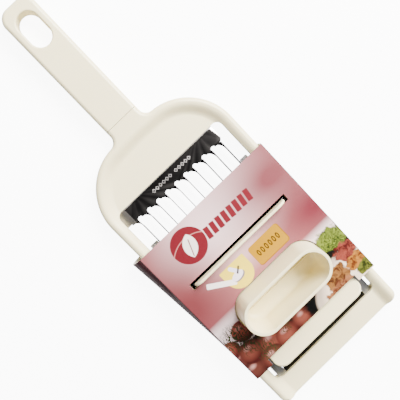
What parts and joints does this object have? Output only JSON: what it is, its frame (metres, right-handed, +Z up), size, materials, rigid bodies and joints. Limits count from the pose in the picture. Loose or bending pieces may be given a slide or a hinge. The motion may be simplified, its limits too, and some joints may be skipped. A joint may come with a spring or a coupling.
{
  "type": "mandoline slicer",
  "caption": "Hand-held mandoline slicer: a paddle frame with upright steel blades, a sliding pusher with a finger cup, and a printed card sleeve.",
  "frame": {"origin": "centre of the bounding box, on the surface that the slicer lies on", "axes": "+Z up out of the recessed side of the frame, +Y along the frame towards the tip of the handle, +X across to the right"},
  "size_m": [0.1118, 0.3212, 0.044],
  "materials": {
    "ivory_plastic": "satin moulded ABS",
    "polished_steel": "mirror-polished stainless steel",
    "plain_steel": "rolled stainless steel",
    "printed_card": "coated card, printed in colour"
  },
  "bodies": {
    "slicer": {"frame": "ivory_plastic", "handle": "ivory_plastic", "handle_screw_1": "plain_steel", "handle_screw_2": "plain_steel", "blade_strip": "polished_steel", "blade_01": "polished_steel", "blade_02": "polished_steel", "blade_03": "polished_steel", "blade_04": "polished_steel", "blade_05": "polished_steel", "blade_06": "polished_steel", "blade_07": "polished_steel", "blade_08": "polished_steel", "blade_09": "polished_steel", "blade_10": "polished_steel", "rail_left": "plain_steel", "rail_right": "plain_steel", "blade_tail_bar": "plain_steel", "clamp_bar_front": "ivory_plastic", "clamp_bar_rear": "ivory_plastic", "clamp_screw_1": "plain_steel", "clamp_screw_2": "plain_steel", "clamp_screw_3": "plain_steel", "clamp_screw_4": "plain_steel", "clamp_screw_5": "plain_steel"},
    "pusher": {"pusher_sled": "ivory_plastic", "pusher_grip": "ivory_plastic", "card_sleeve": "printed_card"}
  },
  "joints": [
    {"name": "pusher_slide", "type": "slide", "parent": "slicer", "child": "pusher", "axis": [0, 1, 0], "range_m": [-0.012, 0.052]}
  ]
}
